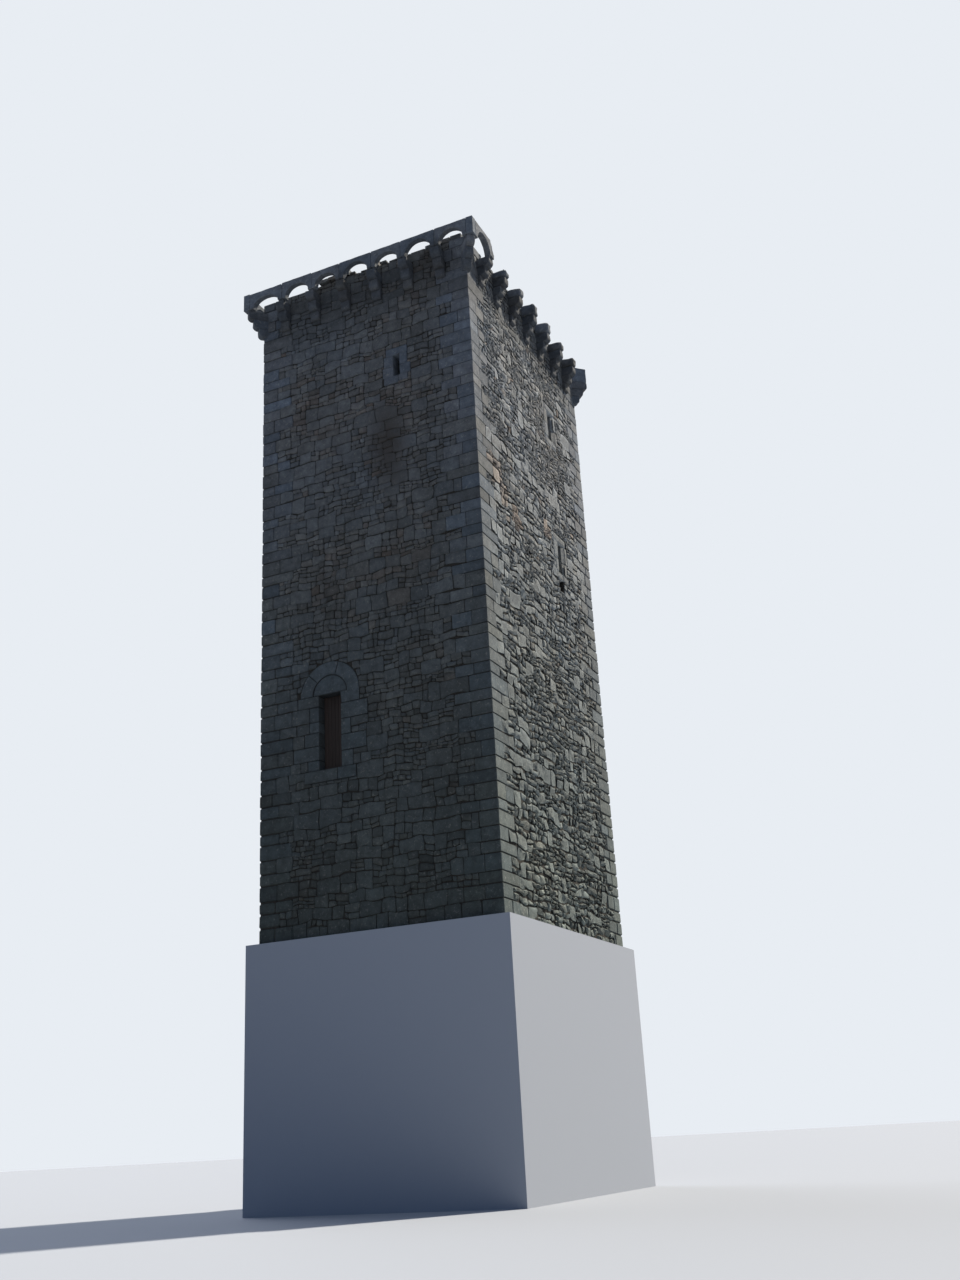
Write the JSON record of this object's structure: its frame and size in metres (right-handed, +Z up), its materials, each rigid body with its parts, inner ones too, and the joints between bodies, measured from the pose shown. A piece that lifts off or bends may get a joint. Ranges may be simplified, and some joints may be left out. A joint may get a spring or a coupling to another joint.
{
  "type": "castle keep",
  "caption": "Square granite keep with toothed quoins, a raised round-headed door, small windows and an arcaded machicolation.",
  "frame": {"origin": "middle of the tower's plan at ground level", "axes": "+Z up, the front with the door faces -Y, +X to the right seen from the front"},
  "size_m": [8.47, 10.11, 21.359],
  "materials": {
    "granite_rubble": "rough coursed granite rubble with open joints",
    "dressed_granite": "dressed granite blocks, weathered, with lichen",
    "granite_flags": "worn granite flags",
    "weathered_oak": "brown weathered oak boards",
    "inside_oak": "sawn oak"
  },
  "bodies": {
    "root": {"front_wall_ground": "granite_rubble", "front_wall_entrance": "granite_rubble", "front_wall_middle": "granite_rubble", "front_wall_upper": "granite_rubble", "back_wall_ground": "granite_rubble", "back_wall_entrance": "granite_rubble", "back_wall_middle": "granite_rubble", "back_wall_upper": "granite_rubble", "right_wall_ground": "granite_rubble", "right_wall_entrance": "granite_rubble", "right_wall_middle": "granite_rubble", "right_wall_upper": "granite_rubble", "left_wall_ground": "granite_rubble", "left_wall_entrance": "granite_rubble", "left_wall_middle": "granite_rubble", "left_wall_upper": "granite_rubble", "front_left_quoins": "dressed_granite", "front_right_quoins": "dressed_granite", "back_left_quoins": "dressed_granite", "back_right_quoins": "dressed_granite", "door_sill": "dressed_granite", "door_jambs": "dressed_granite", "door_tympanum": "dressed_granite", "door_arch": "dressed_granite", "door_leaf": "weathered_oak", "front_slit_frame": "dressed_granite", "back_slit_frame": "dressed_granite", "right_window_frames": "dressed_granite", "left_window_frames": "dressed_granite", "entrance_floor": "inside_oak", "middle_floor": "inside_oak", "upper_floor": "inside_oak", "terrace_beams": "inside_oak", "terrace_paving": "granite_flags", "front_corbels": "dressed_granite", "back_corbels": "dressed_granite", "right_corbels": "dressed_granite", "left_corbels": "dressed_granite", "corner_corbels": "dressed_granite", "front_arch_stones": "dressed_granite", "back_arch_stones": "dressed_granite", "left_arch_stones": "dressed_granite", "right_arch_remains": "dressed_granite", "corner_arch_stones": "dressed_granite"}
  },
  "joints": []
}
